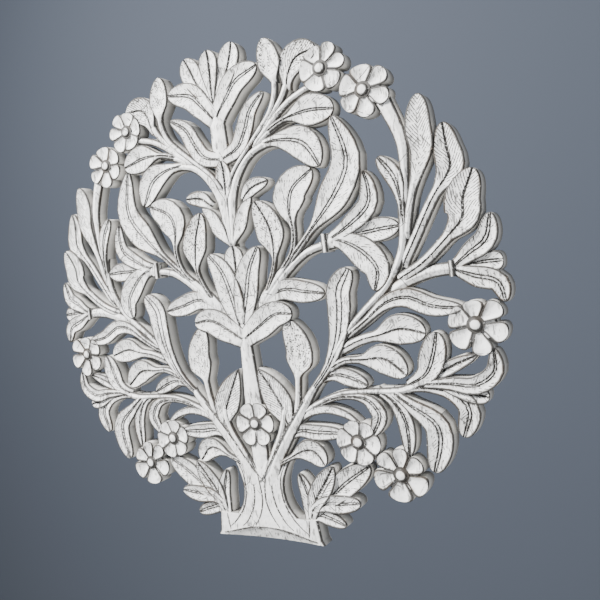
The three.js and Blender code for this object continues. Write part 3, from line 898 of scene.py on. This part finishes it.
class PANEL_OT_flowers(bpy.types.Operator):
    """Carves the six-petalled flowers"""

    bl_idname = "panel.flowers"
    bl_label = "Flowers"

    def petal(self):
        """One cupped petal that points to the right."""
        carving = Carving()
        ahead = np.array([1.0, 0.0])
        rows = []
        for reach, half in PETAL:
            out = (reach - PETAL[0][0]) / (PETAL[-1][0] - PETAL[0][0])
            numbers = {
                "level": (PETAL_RIM - PETAL_INNER_FALL * (1 - out) ** 2
                          - PETAL_TIP_FALL * max(0.0, out - 0.8) / 0.2) * MM,
                "dip": PETAL_CUP * MM * math.sin(math.pi * min(1.0, out * 0.95)),
                "vein": -1 * MM,
                "along": reach * MM,
            }
            rows.append((np.array([reach, 0.0]), ahead, half, numbers))

        def columns(half, numbers):
            edge = max(0.6, 1 - 1.1 / half)
            return [-1, -edge, -0.6, -0.4, -0.2, 0, 0.2, 0.4, 0.6, edge, 1]

        carving.strip(rows, columns)
        return carve("petal", carving)

    def disc(self, carving, form, sides, cut=0.0, at_back=False):
        """A round, domed form on the flower's middle. The outer share `cut` of it is a dark groove."""
        radius, height, dome = form

        def ring(reach, depth=0.0, **data):
            return [carving.point(reach * math.cos(2 * math.pi * i / sides),
                                  reach * math.sin(2 * math.pi * i / sides), depth,
                                  half=radius * MM, vein=-1 * MM, **data) for i in range(sides)]

        rings = []
        for share in (1.0, 0.84, 0.6, 0.3):
            level = (height - dome * share ** 2) * MM
            across = radius * (share if share < 1 - cut else 1) * MM
            rings.append(ring(radius * share, top=1.0, level=level, across=across))
        crest = carving.point(0, 0, top=1.0, level=height * MM, half=radius * MM, vein=-1 * MM)
        back = ring(radius, 0.0 if at_back else carving.back(), level=height * MM)
        for i in range(sides):
            j = (i + 1) % sides
            for outer, inner in zip(rings, rings[1:]):
                carving.face(outer[i], outer[j], inner[j], inner[i])
            carving.face(rings[-1][i], rings[-1][j], crest)
            carving.face(rings[0][i], back[i], back[j], rings[0][j], wall=1.0)
        carving.face(*reversed(back), wall=1.0)

    def middle(self):
        """The bed under the petals, and the round button on it with a dark groove round it."""
        carving = Carving()
        self.disc(carving, FLOWER_BED, 36, at_back=True)
        self.disc(carving, FLOWER_GROOVE, 24, cut=0.5)
        self.disc(carving, FLOWER_BUTTON, 24)
        return carve("flower_middle", carving)

    def execute(self, context):
        petal, middle = self.petal(), self.middle()
        mirrored = [((-x, z), tuple(sorted(((180 - a) % 360, reach) for a, reach in petals)))
                    for (x, z), petals in FLOWERS]
        even_spread = math.tan(math.radians(360 / 6 / 2))
        places, marks = [], []
        for (x, z), petals in [*FLOWERS, *mirrored, MIDDLE_FLOWER]:
            for i, (angle, reach) in enumerate(petals):
                before = (angle - petals[i - 1][0]) % 360
                after = (petals[(i + 1) % len(petals)][0] - angle) % 360
                turn = math.radians(angle + (after - before) / 4)
                width = math.tan(math.radians((before + after) / 4)) / even_spread
                places.append((x * MM, 0.0, z * MM))
                marks.append((turn, width, reach / PETAL_REACH, float(i == 0)))
        mesh = bpy.data.meshes.new("flower_marks")
        mesh.from_pydata(places, [], [])
        for key, numbers in zip(("direction", "spread", "reach", "first"), zip(*marks)):
            mesh.attributes.new(key, "FLOAT", "POINT").data.foreach_set("value", numbers)
        inputs = {"Petal": petal, "Middle": middle, "Material": whitewash()}
        grown_object("flowers", mesh, flower_tree(), inputs)
        bpy.data.objects.remove(petal)
        bpy.data.objects.remove(middle)
        return {"FINISHED"}


class PANEL_OT_finish(bpy.types.Operator):
    """Joins the carved forms into the one board"""

    bl_idname = "panel.finish"
    bl_label = "One board"

    def execute(self, context):
        parts = [bpy.data.objects[name] for name in ("leaves", "stems", "trunk", "flowers")]
        board = parts[0]
        with context.temp_override(active_object=board, selected_editable_objects=parts, object=board):
            bpy.ops.object.join()
        board.name = "panel_carving"
        mesh = board.data
        for name in [a.name for a in mesh.attributes]:
            attribute = mesh.attributes[name]
            if not attribute.is_internal and not attribute.is_required and name not in ATTRIBUTES_KEPT:
                mesh.attributes.remove(attribute)
        for polygon in mesh.polygons:
            polygon.use_smooth = True
        mesh.set_sharp_from_angle(angle=math.radians(SHARP_ANGLE))
        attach(board, "root")
        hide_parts(NODE)
        return {"FINISHED"}


class PANEL_OT_stage(bpy.types.Operator):
    """Sets the plain floor and backdrop, the soft lights and the camera"""

    bl_idname = "panel.stage"
    bl_label = "Stage"

    # Height of the floor, place and top of the backdrop, and how far they reach to the sides and forward
    FLOOR, BACKDROP, BACKDROP_TOP, REACH = -1.8, 1.3, 3, 6
    FLOOR_COLOUR = (0.7, 0.7, 0.69, 1)
    # The backdrop's even colour is darker than the wall it stands for: it also paints on the panel's shadow
    # seen in the openings
    BACKDROP_AND_SHADE_COLOUR = (0.048, 0.058, 0.079, 1)
    SKY_COLOUR, SKY_STRENGTH = (0.78, 0.84, 0.92, 1), 0.19

    def sheet(self, name, near, far, colour):
        """A plain sheet between two edges that run from left to right, each given by its y and z."""
        mesh = bpy.data.meshes.new(name)
        corners = [(-self.REACH, *near), (self.REACH, *near), (self.REACH, *far), (-self.REACH, *far)]
        mesh.from_pydata(corners, [], [(0, 1, 2, 3)])
        material = bpy.data.materials.new(name)
        material.use_nodes = True
        shader = material.node_tree.nodes["Principled BSDF"]
        shader.inputs["Base Color"].default_value = colour
        shader.inputs["Roughness"].default_value = 0.9
        mesh.materials.append(material)
        placed(name, mesh)

    def light(self, name, place, side, power, colour):
        """A square light that faces the middle of the panel."""
        lamp = bpy.data.lights.new(name, "AREA")
        lamp.shape = "RECTANGLE"
        lamp.size, lamp.size_y = side, side
        lamp.energy = power
        lamp.color = colour
        made = placed(name, lamp)
        made.location = place
        aim = made.location.copy()
        aim.negate()
        made.rotation_euler = aim.to_track_quat("-Z", "Y").to_euler()

    def execute(self, context):
        foot, top = (self.BACKDROP, self.FLOOR), (self.BACKDROP, self.BACKDROP_TOP)
        self.sheet("floor", (-self.REACH, self.FLOOR), foot, self.FLOOR_COLOUR)
        self.sheet("backdrop", foot, top, self.BACKDROP_AND_SHADE_COLOUR)
        self.light("key_light", (-1.1, -1.3, 1.7), side=0.6, power=300, colour=(1, 0.99, 0.97))
        self.light("fill_light", (1.9, -1.4, 0.4), side=1.4, power=15, colour=(0.96, 0.98, 1))
        world = bpy.data.worlds.new("studio")
        world.use_nodes = True
        sky = world.node_tree.nodes["Background"]
        sky.inputs["Color"].default_value = self.SKY_COLOUR
        sky.inputs["Strength"].default_value = self.SKY_STRENGTH
        context.scene.world = world
        self.set_camera(context)
        return {"FINISHED"}

    def set_camera(self, context):
        """A camera at the photograph's angle, given by its place and its right, up and back axes."""
        place = (0.4518, -0.7039, 0.0069)
        right = (0.80970299, 0.57218521, -0.13032714)
        up = (0.09989038, 0.08445825, 0.99140744)
        back = (0.57827587, -0.81576399, 0.0112303)
        lens = bpy.data.cameras.new("camera")
        lens.lens = 40.65
        lens.sensor_width = 36
        lens.shift_x = 0.14
        camera = placed("camera", lens)
        turned = Matrix((right, up, back)).transposed().to_4x4()
        camera.matrix_world = Matrix.Translation(place) @ turned
        context.scene.camera = camera


class PANEL_PT_sidebar(bpy.types.Panel):
    """Lists the steps of the panel in the 3D view's sidebar"""

    bl_label = "Wall Panel"
    bl_idname = "PANEL_PT_sidebar"
    bl_space_type = "VIEW_3D"
    bl_region_type = "UI"
    bl_category = "Wall Panel"

    def draw(self, context):
        for group in (context.scene.panel_sizes, context.scene.panel_colours):
            box = self.layout.box()
            for key in group.__annotations__:
                box.prop(group, key)
        for step in STEPS:
            self.layout.operator(step.bl_idname)


STEPS = (PANEL_OT_leaves, PANEL_OT_stems, PANEL_OT_trunk, PANEL_OT_flowers, PANEL_OT_finish, PANEL_OT_stage)
CLASSES = (CarvingSizes, PaintColours, *STEPS, PANEL_PT_sidebar)


def register():
    for cls in CLASSES:
        bpy.utils.register_class(cls)
    bpy.types.Scene.panel_sizes = bpy.props.PointerProperty(type=CarvingSizes)
    bpy.types.Scene.panel_colours = bpy.props.PointerProperty(type=PaintColours)


def unregister():
    del bpy.types.Scene.panel_colours
    del bpy.types.Scene.panel_sizes
    for cls in reversed(CLASSES):
        bpy.utils.unregister_class(cls)


def main():
    register()
    for step in ("leaves", "stems", "trunk", "flowers", "finish", "stage"):
        getattr(bpy.ops.panel, step)()


if __name__ == "__main__":
    main()
